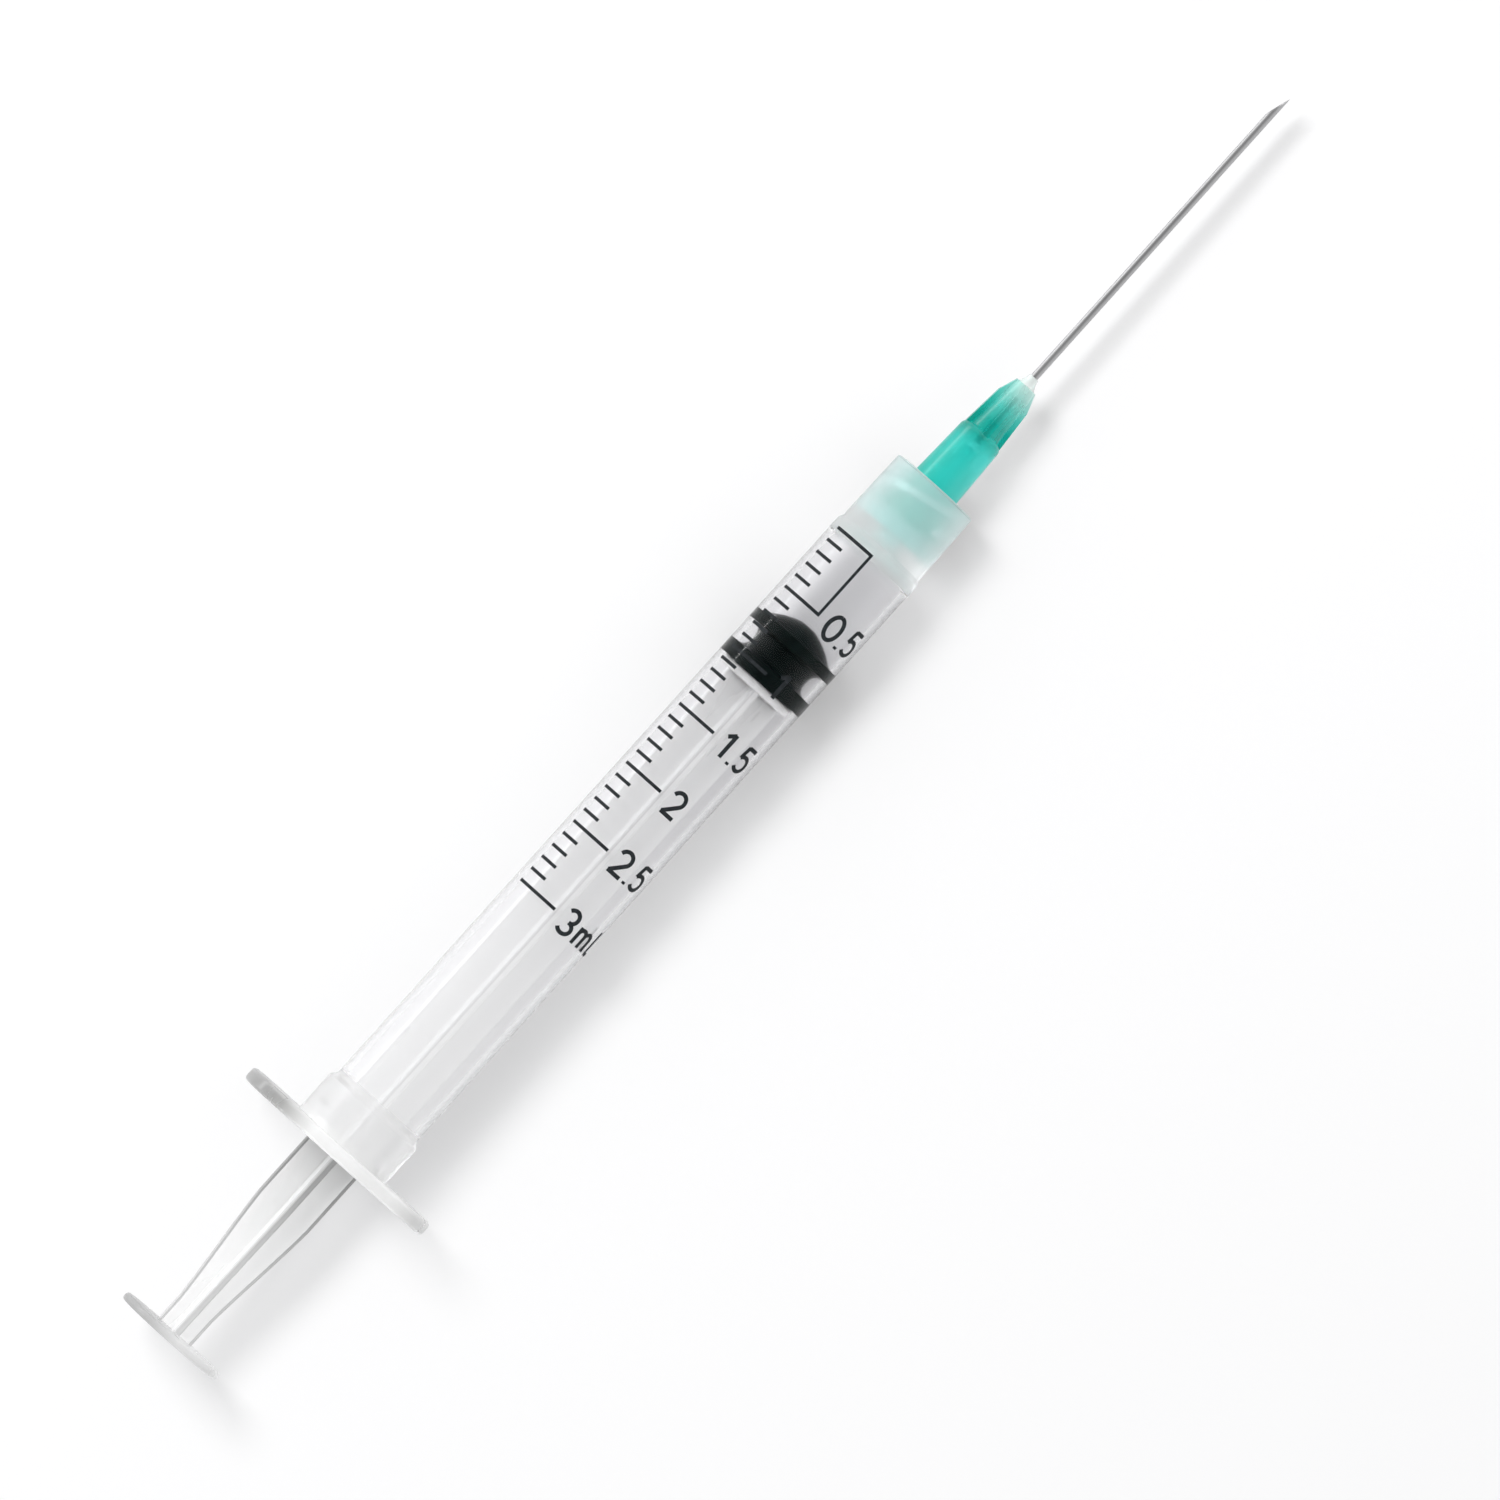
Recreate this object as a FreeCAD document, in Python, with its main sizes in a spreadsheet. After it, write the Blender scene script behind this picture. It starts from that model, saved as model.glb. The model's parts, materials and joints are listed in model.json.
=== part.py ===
import FreeCAD, Part
import math
import os
import Sketcher

# Disposable 3 mL luer lock syringe with a 21 gauge needle screwed on.
# Millimetres. The syringe is drawn along +X with the needle end at +X and the zero line of its
# scale at X = 0. At the end it is laid down as it rests, with +Z up.

os.makedirs("parts", exist_ok=True)
doc = FreeCAD.newDocument("luer_lock_syringe")
sheet = doc.addObject("Spreadsheet::Sheet", "sizes")


class Size:
    """A length with its number and the sheet expression that drives it."""

    def __init__(self, number, text):
        self.number = number
        self.text = text

    def __add__(self, other):
        other = as_size(other)
        return Size(self.number + other.number, "(%s + %s)" % (self.text, other.text))

    def __sub__(self, other):
        other = as_size(other)
        return Size(self.number - other.number, "(%s - %s)" % (self.text, other.text))

    def __mul__(self, other):
        other = as_size(other)
        return Size(self.number * other.number, "(%s * %s)" % (self.text, other.text))

    def __truediv__(self, other):
        other = as_size(other)
        return Size(self.number / other.number, "(%s / %s)" % (self.text, other.text))

    def __neg__(self):
        return as_size(0) - self


def as_size(value):
    """Lets plain numbers stand beside sizes in a sum."""
    if isinstance(value, Size):
        return value
    return Size(float(value), "%.9g" % value)


def cell(alias, number):
    """Writes one driving dimension to the sheet and hands it back."""
    row = cell.row
    cell.row += 1
    sheet.set("A%d" % row, alias)
    sheet.set("B%d" % row, "%.9g" % number)
    sheet.setAlias("B%d" % row, alias)
    return Size(float(number), "sizes.%s" % alias)


cell.row = 1

# Barrel
bore_dia = cell("bore_dia", 9.0)
barrel_dia = cell("barrel_dia", 10.5)
barrel_rear = cell("barrel_rear", 80.3)
flange_thick = cell("flange_thick", 1.5)
flange_span = cell("flange_span", 23.6)
flange_width = cell("flange_width", 13.6)
flange_corner = cell("flange_corner", 2.5)
flange_round = cell("flange_round", 0.4)
neck_dia = cell("neck_dia", 11.5)
neck_length = cell("neck_length", 4.6)
neck_slope = cell("neck_slope", 0.5)
ring_dia = cell("ring_dia", 8.72)
ring_width = cell("ring_width", 0.8)
ring_slope = cell("ring_slope", 0.4)
ring_inset = cell("ring_inset", 2.6)
entry_chamfer = cell("entry_chamfer", 0.4)
front_gap = cell("front_gap", 0.2)
front_wall = cell("front_wall", 1.0)
shoulder_lead = cell("shoulder_lead", 0.9)
shoulder_slope = cell("shoulder_slope", 0.5)

# Lock collar and luer nozzle
collar_base_dia = cell("collar_base_dia", 10.0)
collar_mouth_dia = cell("collar_mouth_dia", 9.8)
collar_depth = cell("collar_depth", 6.65)
collar_chamfer = cell("collar_chamfer", 0.25)
thread_dia = cell("thread_dia", 8.0)
nozzle_tip_dia = cell("nozzle_tip_dia", 3.93)
nozzle_reach = cell("nozzle_reach", 1.9)
nozzle_chamfer = cell("nozzle_chamfer", 0.15)
luer_taper = cell("luer_taper", 0.06)
way_dia = cell("way_dia", 1.9)

# Stopper, drawn back to its reading in millilitres
reading_ml = cell("reading_ml", 0.7)
stopper_fit = cell("stopper_fit", 0.03)
front_rib = cell("front_rib", 1.33)
groove_width = cell("groove_width", 2.7)
groove_depth = cell("groove_depth", 1.0)
groove_round = cell("groove_round", 0.6)
rear_rib = cell("rear_rib", 1.75)
nose_length = cell("nose_length", 1.75)
nose_step = cell("nose_step", 0.35)
nose_flat_dia = cell("nose_flat_dia", 1.8)
nose_bulge = cell("nose_bulge", 8.0)

# Plunger rod
rod_length = cell("rod_length", 87.9)
thumb_dia = cell("thumb_dia", 12.4)
thumb_thick = cell("thumb_thick", 1.0)
thumb_round = cell("thumb_round", 0.4)
rib_thick = cell("rib_thick", 0.8)
rib_span = cell("rib_span", 6.6)
grip_span = cell("grip_span", 4.3)
grip_length = cell("grip_length", 3.0)
slant_length = cell("slant_length", 13.2)
disc_dia = cell("disc_dia", 8.4)
disc_thick = cell("disc_thick", 0.8)
stem_dia = cell("stem_dia", 3.8)
stem_length = cell("stem_length", 1.0)
head_dia = cell("head_dia", 5.0)
head_length = cell("head_length", 2.0)
head_chamfer = cell("head_chamfer", 0.8)
socket_fit = cell("socket_fit", 0.05)
rod_roll = cell("rod_roll", 7.0)

# Needle
hub_gap = cell("hub_gap", 1.85)
luer_fit = cell("luer_fit", 0.03)
luer_depth = cell("luer_depth", 8.4)
hub_length = cell("hub_length", 18.3)
hub_mouth_dia = cell("hub_mouth_dia", 5.7)
hub_end_dia = cell("hub_end_dia", 4.9)
hub_body_length = cell("hub_body_length", 11.2)
hub_shoulder = cell("hub_shoulder", 0.9)
hub_round = cell("hub_round", 0.9)
core_base_dia = cell("core_base_dia", 3.6)
core_tip_dia = cell("core_tip_dia", 2.4)
fin_base_dia = cell("fin_base_dia", 4.6)
fin_tip_dia = cell("fin_tip_dia", 3.8)
fin_thick = cell("fin_thick", 0.7)
fin_slant = cell("fin_slant", 2.0)
lug_span = cell("lug_span", 7.7)
lug_length = cell("lug_length", 1.3)
lug_width = cell("lug_width", 3.2)
chamber_dia = cell("chamber_dia", 2.4)
chamber_length = cell("chamber_length", 2.4)
well_dia = cell("well_dia", 1.7)
well_depth = cell("well_depth", 1.6)
cannula_dia = cell("cannula_dia", 0.82)
cannula_bore = cell("cannula_bore", 0.51)
cannula_fit = cell("cannula_fit", 0.02)
cannula_reach = cell("cannula_reach", 39.0)
cannula_tail = cell("cannula_tail", 8.5)
bevel_length = cell("bevel_length", 2.8)
bead_fit = cell("bead_fit", 0.02)
bead_length = cell("bead_length", 1.2)
bead_tip_dia = cell("bead_tip_dia", 1.1)
bead_rim = cell("bead_rim", 0.15)
bead_bulge = cell("bead_bulge", 2.5)
hub_roll = cell("hub_roll", 8.0)
bevel_roll = cell("bevel_roll", -80.0)

# Printed scale. Its lines run round the barrel, and their angles are counted from the top.
full_volume = cell("full_volume", 3.0)
long_step = cell("long_step", 0.5)
short_step = cell("short_step", 0.1)
ink_thick = cell("ink_thick", 0.03)
line_width = cell("line_width", 0.35)
line_start = cell("line_start", 60.0)
long_sweep = cell("long_sweep", 60.0)
short_sweep = cell("short_sweep", 29.0)
frame_sweep = cell("frame_sweep", 3.2)

# Stations along the axis that follow from the sizes
ml_travel = as_size(4000 / math.pi) / (bore_dia * bore_dia)
flange_rear = -barrel_rear
flange_front = flange_rear + flange_thick
neck_end = flange_front + neck_length
bore_r = bore_dia / 2
barrel_r = barrel_dia / 2
way_r = way_dia / 2
cone_end = front_gap + nose_length
collar_floor = cone_end + front_wall
collar_mouth = collar_floor + collar_depth
nozzle_tip = collar_mouth + nozzle_reach
nozzle_tip_r = nozzle_tip_dia / 2
stopper_front = -(reading_ml * ml_travel)
stopper_rear = stopper_front - front_rib - groove_width - rear_rib
rod_front = stopper_rear - socket_fit
rod_rear = rod_front - rod_length
disc_rear = rod_front - disc_thick
stem_end = rod_front + stem_length
head_end = stem_end + head_length
hub_mouth = collar_floor + hub_gap
hub_nose = hub_mouth + hub_length
hub_body_end = hub_mouth + hub_body_length
well_floor = hub_nose - well_depth
cannula_tip = hub_nose + cannula_reach


def taper_radius(station):
    """Radius of the 6 % luer nozzle at a station along the axis."""
    return nozzle_tip_r + (nozzle_tip - station) * luer_taper / 2


def new_body(name):
    body = doc.addObject("PartDesign::Body", name)
    body.Label = name
    return body


def plane(body, role):
    for feature in body.Origin.OriginFeatures:
        if feature.Role == role:
            return feature
    raise ValueError("no plane " + role)


def new_sketch(body, name, role, station=None):
    """A sketch on one of the body's own planes, moved along its normal to a station."""
    sketch = body.newObject("Sketcher::SketchObject", name)
    sketch.AttachmentSupport = (plane(body, role), [""])
    sketch.MapMode = "FlatFace"
    if station is not None:
        sketch.setExpression("AttachmentOffset.Base.z", station.text)
    return sketch


def drive(sketch, constraint, size):
    """Adds a dimension and binds it to the sheet."""
    index = sketch.addConstraint(constraint)
    sketch.setExpression("Constraints[%d]" % index, size.text)


def pin_point(sketch, geometry, point, x, y):
    """Places a point of the sketch by its two distances from the sketch origin."""
    drive(sketch, Sketcher.Constraint("DistanceX", -1, 1, geometry, point, x.number), x)
    drive(sketch, Sketcher.Constraint("DistanceY", -1, 1, geometry, point, y.number), y)


def arc_between(start, end, radius):
    """An arc from start to end that turns to the left for a positive radius, else to the right."""
    chord = end - start
    half = chord.Length / 2
    left = FreeCAD.Vector(-chord.y, chord.x, 0).normalize()
    rise = math.sqrt(radius * radius - half * half)
    centre = start + chord * 0.5 + left * (rise if radius > 0 else -rise)
    first, last = (start, end) if radius > 0 else (end, start)
    a = math.atan2(first.y - centre.y, first.x - centre.x)
    b = math.atan2(last.y - centre.y, last.x - centre.x)
    circle = Part.Circle(centre, FreeCAD.Vector(0, 0, 1), abs(radius))
    return Part.ArcOfCircle(circle, a, b if b > a else b + 2 * math.pi)


def outline(sketch, points, arcs=None):
    """A closed outline through the points. arcs gives a signed radius for the edge after a point."""
    arcs = arcs or {}
    spots = [FreeCAD.Vector(x.number, y.number, 0) for x, y in points]
    count = len(spots)
    ends = []
    for i in range(count):
        start, end = spots[i], spots[(i + 1) % count]
        if i in arcs:
            radius, side = arcs[i]
            index = sketch.addGeometry(arc_between(start, end, side * radius.number), False)
            ends.append((1, 2) if side > 0 else (2, 1))
            drive(sketch, Sketcher.Constraint("Radius", index, radius.number), radius)
        else:
            sketch.addGeometry(Part.LineSegment(start, end), False)
            ends.append((1, 2))
    for i in range(count):
        following = (i + 1) % count
        sketch.addConstraint(Sketcher.Constraint("Coincident", i, ends[i][1], following, ends[following][0]))
    for i in range(count):
        pin_point(sketch, i, ends[i][0], *points[i])


def mirrored(upper):
    """An outline that is the same below the axis as above it."""
    return upper + [(x, -y) for x, y in reversed(upper)]


def two_wings(sketch, span, width):
    """Two flats a width apart, joined by two arcs that lie on one circle of the span."""
    half_width = width.number / 2
    span_r = span.number / 2
    reach = math.sqrt(span_r * span_r - half_width * half_width)
    sides = ((reach, half_width), (-reach, half_width), (-reach, -half_width), (reach, -half_width))
    corners = [FreeCAD.Vector(y, z, 0) for y, z in sides]
    for i in (0, 2):
        sketch.addGeometry(Part.LineSegment(corners[i], corners[i + 1]), False)
        sketch.addGeometry(arc_between(corners[i + 1], corners[(i + 2) % 4], span_r), False)
    for i in range(4):
        sketch.addConstraint(Sketcher.Constraint("Coincident", i, 2, (i + 1) % 4, 1))
    for i in (0, 2):
        sketch.addConstraint(Sketcher.Constraint("Horizontal", i))
        sketch.addConstraint(Sketcher.Constraint("Coincident", i + 1, 3, -1, 1))
    drive(sketch, Sketcher.Constraint("Radius", 1, span_r), span / 2)
    drive(sketch, Sketcher.Constraint("DistanceY", -1, 1, 0, 1, half_width), width / 2)
    drive(sketch, Sketcher.Constraint("DistanceY", 2, 1, -1, 1, half_width), width / 2)


def circle_in(sketch, radius):
    """A circle about the sketch origin."""
    origin = FreeCAD.Vector(0, 0, 0)
    index = sketch.addGeometry(Part.Circle(origin, FreeCAD.Vector(0, 0, 1), radius.number), False)
    sketch.addConstraint(Sketcher.Constraint("Coincident", index, 3, -1, 1))
    drive(sketch, Sketcher.Constraint("Radius", index, radius.number), radius)


def revolved(body, name, kind, sketch, sweep):
    """Turns a sketch about the axis of the syringe, which is the sketch's own first axis."""
    feature = body.newObject(kind, name)
    feature.Profile = sketch
    feature.ReferenceAxis = (sketch, ["H_Axis"])
    feature.setExpression("Angle", sweep.text)
    return feature


def turned(body, name, points, arcs=None, kind="PartDesign::Revolution"):
    """Turns an outline of stations and radii a whole turn."""
    sketch = new_sketch(body, name + "_outline", "XY_Plane")
    outline(sketch, points, arcs)
    return revolved(body, name, kind, sketch, as_size(360))


def padded(body, name, sketch, length, midplane=False):
    feature = body.newObject("PartDesign::Pad", name)
    feature.Profile = sketch
    feature.setExpression("Length", length.text)
    feature.Midplane = midplane
    return feature


def rounded(body, name, base, radius, wanted):
    """Rounds the edges of the base for which wanted(edge) is true."""
    doc.recompute()
    names = []
    for number, edge in enumerate(base.Shape.Edges, 1):
        if wanted(edge):
            names.append("Edge%d" % number)
    feature = body.newObject("PartDesign::Fillet", name)
    feature.Base = (base, names)
    feature.setExpression("Radius", radius.text)
    return feature


def near(a, b):
    return abs(a - b) < 0.001


# Barrel: the turned moulding, then the two-winged finger flange
def make_barrel():
    body = new_body("barrel")
    mouth_r = collar_mouth_dia / 2
    thread_r = thread_dia / 2
    ring_rear = flange_rear + ring_inset
    ring_front = ring_rear + ring_width
    tip_edge = nozzle_tip - nozzle_chamfer
    turned(body, "barrel_wall", [
        (flange_rear, bore_r + entry_chamfer),
        (flange_rear, neck_dia / 2),
        (neck_end, neck_dia / 2),
        (neck_end + neck_slope, barrel_r),
        (shoulder_lead, barrel_r),
        (shoulder_lead + shoulder_slope, collar_base_dia / 2),
        (collar_mouth - collar_chamfer, mouth_r),
        (collar_mouth, mouth_r - collar_chamfer),
        (collar_mouth, thread_r + collar_chamfer),
        (collar_mouth - collar_chamfer, thread_r),
        (collar_floor, thread_r),
        (collar_floor, taper_radius(collar_floor)),
        (tip_edge, taper_radius(tip_edge)),
        (nozzle_tip, nozzle_tip_r - nozzle_chamfer),
        (nozzle_tip, way_r),
        (cone_end, way_r),
        (front_gap, bore_r),
        (ring_front + ring_slope, bore_r),
        (ring_front, ring_dia / 2),
        (ring_rear, ring_dia / 2),
        (ring_rear - ring_slope, bore_r),
        (flange_rear + entry_chamfer, bore_r),
    ])

    sketch = new_sketch(body, "flange_outline", "YZ_Plane", flange_rear)
    two_wings(sketch, flange_span, flange_width)
    circle_in(sketch, (bore_r + neck_dia / 2) / 2)
    flange = padded(body, "flange", sketch, flange_thick)
    wing_start = neck_dia.number / 2

    def at_corner(edge):
        return near(edge.Length, flange_thick.number) and abs(edge.CenterOfMass.y) > wing_start

    def on_rim(edge):
        along = edge.CenterOfMass.x
        flat = near(along, flange_rear.number) or near(along, flange_front.number)
        return flat and max(abs(v.Y) for v in edge.Vertexes) > wing_start

    corners = rounded(body, "flange_corners", flange, flange_corner, at_corner)
    rounded(body, "flange_rounding", corners, flange_round, on_rim)
    return body


# Ink of the scale: a long line each half millilitre, short ones between, and a stroke that
# joins the ends of the first two long lines
def make_print():
    body = new_body("graduation_print")
    body.AllowCompound = True
    half = line_width / 2
    low = barrel_r
    high = barrel_r + ink_thick

    def line(name, rear, front, start, sweep):
        sketch = new_sketch(body, name + "_section", "XZ_Plane")
        sketch.AttachmentOffset = FreeCAD.Placement(
            FreeCAD.Vector(0, 0, 0), FreeCAD.Rotation(FreeCAD.Vector(1, 0, 0), -start.number))
        sketch.setExpression("AttachmentOffset.Rotation.Angle", (-start).text)
        outline(sketch, [(rear, low), (front, low), (front, high), (rear, high)])
        return revolved(body, name, "PartDesign::Revolution", sketch, sweep)

    def scale_line(volume, name, sweep):
        station = -(ml_travel * volume)
        return line(name, station - half, station + half, line_start, sweep)

    def repeat(name, original, volume, count):
        pattern = body.newObject("PartDesign::LinearPattern", name)
        pattern.Originals = [original]
        pattern.Direction = (original.Profile[0], ["H_Axis"])
        pattern.setExpression("Length", (ml_travel * volume).text)
        pattern.Occurrences = count
        body.Tip = pattern
        return pattern

    longs = round(full_volume.number / long_step.number)
    shorts = round(long_step.number / short_step.number) - 1
    repeat("long_lines", scale_line(full_volume, "long_line", long_sweep), full_volume, longs + 1)
    for i in range(1, shorts + 1):
        first = scale_line(full_volume - short_step * i, "short_line_%d" % i, short_sweep)
        repeat("short_lines_%d" % i, first, full_volume - long_step, longs)
    inner_end = line_start - long_sweep
    line("end_stroke", -(ml_travel * long_step) + half, -half, inner_end + frame_sweep, frame_sweep)
    return body


# Stopper: two ribs with a round groove between, a blunt nose and the socket for the rod's head
def make_stopper():
    body = new_body("stopper")
    rib_r = bore_r - stopper_fit
    groove_r = rib_r - groove_depth
    groove_front = stopper_front - front_rib
    groove_rear = groove_front - groove_width
    nose_end = stopper_front + nose_length
    lip_end = stem_end - socket_fit
    socket_end = head_end + socket_fit
    hole_r = stem_dia / 2 + socket_fit
    socket_r = head_dia / 2 + socket_fit
    turned(body, "stopper_body", [
        (stopper_rear, hole_r),
        (stopper_rear, rib_r),
        (groove_rear, rib_r),
        (groove_rear + groove_round, groove_r),
        (groove_front - groove_round, groove_r),
        (groove_front, rib_r),
        (stopper_front, rib_r),
        (stopper_front, rib_r - nose_step),
        (nose_end, nose_flat_dia / 2),
        (nose_end, as_size(0)),
        (socket_end, as_size(0)),
        (socket_end, socket_r - head_chamfer),
        (socket_end - head_chamfer, socket_r),
        (lip_end, socket_r),
        (lip_end, hole_r),
    ], arcs={7: (nose_bulge, -1)})
    return body


# Plunger rod: thumb rest, four ribs that widen inside the barrel, guide disc, stem and head
def make_rod():
    body = new_body("plunger_rod")
    sketch = new_sketch(body, "thumb_outline", "YZ_Plane", rod_rear)
    circle_in(sketch, thumb_dia / 2)
    thumb = padded(body, "thumb_rest", sketch, thumb_thick)
    rim_length = math.pi * thumb_dia.number
    rounded(body, "thumb_rounding", thumb, thumb_round, lambda edge: near(edge.Length, rim_length))

    grip_start = rod_rear + thumb_thick
    grip_end = grip_start + grip_length
    guide_start = grip_end + slant_length
    for role in ("XY_Plane", "XZ_Plane"):
        sketch = new_sketch(body, "rib_outline_" + role[:2], role)
        upper = [
            (grip_start, grip_span / 2),
            (grip_end, grip_span / 2),
            (guide_start, rib_span / 2),
            (disc_rear, rib_span / 2),
        ]
        outline(sketch, mirrored(upper))
        padded(body, "rib_" + role[:2], sketch, rib_thick, midplane=True)

    turned(body, "disc_and_head", [
        (disc_rear, as_size(0)),
        (disc_rear, disc_dia / 2),
        (rod_front, disc_dia / 2),
        (rod_front, stem_dia / 2),
        (stem_end, stem_dia / 2),
        (stem_end, head_dia / 2),
        (head_end - head_chamfer, head_dia / 2),
        (head_end, head_dia / 2 - head_chamfer),
        (head_end, as_size(0)),
    ])
    return body


# Needle hub: luer socket with two lugs at its mouth, a slim nose with four fins, and the glue well
def make_hub():
    body = new_body("needle_hub")
    core_start = hub_body_end + hub_shoulder
    turned(body, "hub_body", [
        (hub_mouth, as_size(0)),
        (hub_mouth, hub_mouth_dia / 2),
        (hub_body_end, hub_end_dia / 2),
        (core_start, core_base_dia / 2),
        (hub_nose, core_tip_dia / 2),
        (hub_nose, as_size(0)),
    ], arcs={2: (hub_round, -1)})

    sketch = new_sketch(body, "lug_outline", "YZ_Plane", hub_mouth)
    two_wings(sketch, lug_span, lug_width)
    padded(body, "lugs", sketch, lug_length)

    for role in ("XY_Plane", "XZ_Plane"):
        sketch = new_sketch(body, "fin_outline_" + role[:2], role)
        upper = [
            (hub_body_end, fin_base_dia / 2),
            (hub_nose - fin_slant, fin_tip_dia / 2),
            (hub_nose, core_tip_dia / 2),
        ]
        outline(sketch, mirrored(upper))
        padded(body, "fin_" + role[:2], sketch, fin_thick, midplane=True)

    luer_end = hub_mouth + luer_depth
    chamber_end = luer_end + chamber_length
    hole_r = cannula_dia / 2 + cannula_fit
    funnel = chamber_dia / 2 - hole_r
    before = body.Tip
    turned(body, "hub_way", [
        (hub_mouth, as_size(0)),
        (hub_mouth, taper_radius(hub_mouth) + luer_fit),
        (luer_end, taper_radius(luer_end) + luer_fit),
        (luer_end, chamber_dia / 2),
        (chamber_end - funnel, chamber_dia / 2),
        (chamber_end, hole_r),
        (well_floor, hole_r),
        (well_floor, well_dia / 2),
        (hub_nose, well_dia / 2),
        (hub_nose, as_size(0)),
    ], kind="PartDesign::Groove")
    doc.recompute()
    if body.Shape.Volume >= before.Shape.Volume:
        raise ValueError("the way through the hub cut nothing")
    return body


# Cannula: steel tube whose tip is ground to a slanted bevel
def make_cannula():
    body = new_body("cannula")
    tube_r = cannula_dia / 2
    tail = hub_nose - cannula_tail
    sketch = new_sketch(body, "tube_section", "YZ_Plane", tail)
    circle_in(sketch, tube_r)
    circle_in(sketch, cannula_bore / 2)
    tube = padded(body, "tube", sketch, cannula_tail + cannula_reach)

    sketch = new_sketch(body, "bevel_outline", "XZ_Plane")
    clear = cannula_tip + cannula_dia
    outline(sketch, [
        (cannula_tip - bevel_length, tube_r),
        (cannula_tip, -tube_r),
        (clear, -tube_r),
        (clear, cannula_dia),
        (cannula_tip - bevel_length, cannula_dia),
    ])
    bevel = body.newObject("PartDesign::Pocket", "bevel")
    bevel.Profile = sketch
    bevel.Midplane = True
    bevel.setExpression("Length", (cannula_dia * 2).text)
    doc.recompute()
    if body.Shape.Volume >= tube.Shape.Volume:
        raise ValueError("the bevel cut nothing")
    return body


# Glue: fills the well round the cannula and rises in a small cone over the nose
def make_bead():
    body = new_body("adhesive_bead")
    inner_r = cannula_dia / 2 + bead_fit
    rim = hub_nose + bead_fit
    turned(body, "bead", [
        (well_floor + bead_fit, inner_r),
        (well_floor + bead_fit, well_dia / 2 - bead_fit),
        (rim, well_dia / 2 - bead_fit),
        (rim, core_tip_dia / 2 - bead_rim),
        (hub_nose + bead_length, bead_tip_dia / 2),
        (hub_nose + bead_length, inner_r),
    ], arcs={3: (bead_bulge, 1)})
    return body


# The syringe lies on its flange and on the lowest edge of its front end. The floor is the line
# that touches the flange's rounding from below and leaves every edge of the front end above it.
def rest_placement(bodies):
    edge_station = flange_front - flange_round
    edge_height = flange_round - flange_width / 2
    flange_edge = FreeCAD.Vector(edge_station.number, 0, edge_height.number)
    front_edges = [
        (shoulder_lead, barrel_r),
        (shoulder_lead + shoulder_slope, collar_base_dia / 2),
        (collar_mouth - collar_chamfer, collar_mouth_dia / 2),
    ]

    def slope(edge):
        along = edge[0].number - flange_edge.x
        down = -edge[1].number - flange_edge.z
        return math.atan2(down, along) + math.asin(flange_round.number / math.hypot(along, down))

    tilt = math.degrees(min(slope(edge) for edge in front_edges))
    lay = FreeCAD.Placement(FreeCAD.Vector(0, 0, 0), FreeCAD.Rotation(FreeCAD.Vector(0, 1, 0), tilt))
    height = flange_round.number - lay.multVec(flange_edge).z
    boxes = [body.Shape.transformGeometry(lay.toMatrix()).optimalBoundingBox(False, False) for body in bodies]
    middle = (min(box.XMin for box in boxes) + max(box.XMax for box in boxes)) / 2
    lay.Base = FreeCAD.Vector(-middle, 0, height)
    return lay, tilt


def rolled(angle):
    return FreeCAD.Placement(FreeCAD.Vector(0, 0, 0), FreeCAD.Rotation(FreeCAD.Vector(1, 0, 0), angle.number))


barrel = make_barrel()
scale_print = make_print()
stopper = make_stopper()
rod = make_rod()
hub = make_hub()
cannula = make_cannula()
bead = make_bead()
doc.recompute()

sub_parts = [barrel, scale_print, stopper, rod, hub, cannula, bead]
rest, rest_tilt = rest_placement(sub_parts)
for body in sub_parts:
    body.Placement = rest
rod.Placement = rest * rolled(rod_roll)
hub.Placement = rest * rolled(hub_roll)
bead.Placement = rest * rolled(hub_roll)
cannula.Placement = rest * rolled(bevel_roll)
doc.recompute()

for item in doc.Objects:
    if "Invalid" in item.State or "Error" in item.State:
        raise ValueError("%s failed: %s" % (item.Name, item.State))
for body in sub_parts:
    if body.Shape.isNull() or not body.Shape.isValid():
        raise ValueError("%s has no valid shape" % body.Label)
    body.Shape.exportStep("parts/%s.step" % body.Label)
    print("%-18s %3d solid(s) %10.3f mm3" % (body.Label, len(body.Shape.Solids), body.Shape.Volume))
print("tilt %.6f degrees, zero line at %.6f, %.6f" % (rest_tilt, rest.Base.x, rest.Base.z))
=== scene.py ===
import json
import math

import bmesh
import bpy
from mathutils import Matrix, Vector


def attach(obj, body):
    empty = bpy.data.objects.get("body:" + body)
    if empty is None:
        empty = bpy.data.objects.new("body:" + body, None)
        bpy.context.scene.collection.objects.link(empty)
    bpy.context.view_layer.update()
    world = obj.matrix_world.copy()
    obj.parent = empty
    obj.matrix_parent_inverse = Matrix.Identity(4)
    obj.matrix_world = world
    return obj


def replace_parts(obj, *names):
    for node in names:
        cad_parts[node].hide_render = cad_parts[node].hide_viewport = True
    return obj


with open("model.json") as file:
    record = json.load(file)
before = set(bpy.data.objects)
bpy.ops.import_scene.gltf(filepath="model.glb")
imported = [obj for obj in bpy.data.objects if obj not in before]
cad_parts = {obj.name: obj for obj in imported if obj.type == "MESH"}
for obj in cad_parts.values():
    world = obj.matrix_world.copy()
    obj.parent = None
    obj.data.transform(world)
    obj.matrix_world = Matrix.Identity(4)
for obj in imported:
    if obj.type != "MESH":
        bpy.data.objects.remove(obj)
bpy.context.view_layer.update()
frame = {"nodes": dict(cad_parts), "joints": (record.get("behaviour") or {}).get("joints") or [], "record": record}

# A small clear luer lock syringe, lying with its needle towards +X. Lengths in millimetres are
# counted along its axis from the zero line of its scale, and MM turns them into metres. Places
# nearer than CLOSE count as the same.
MM = 0.001
WHOLE_TURN = 2 * math.pi
CLOSE = 0.01


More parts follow.
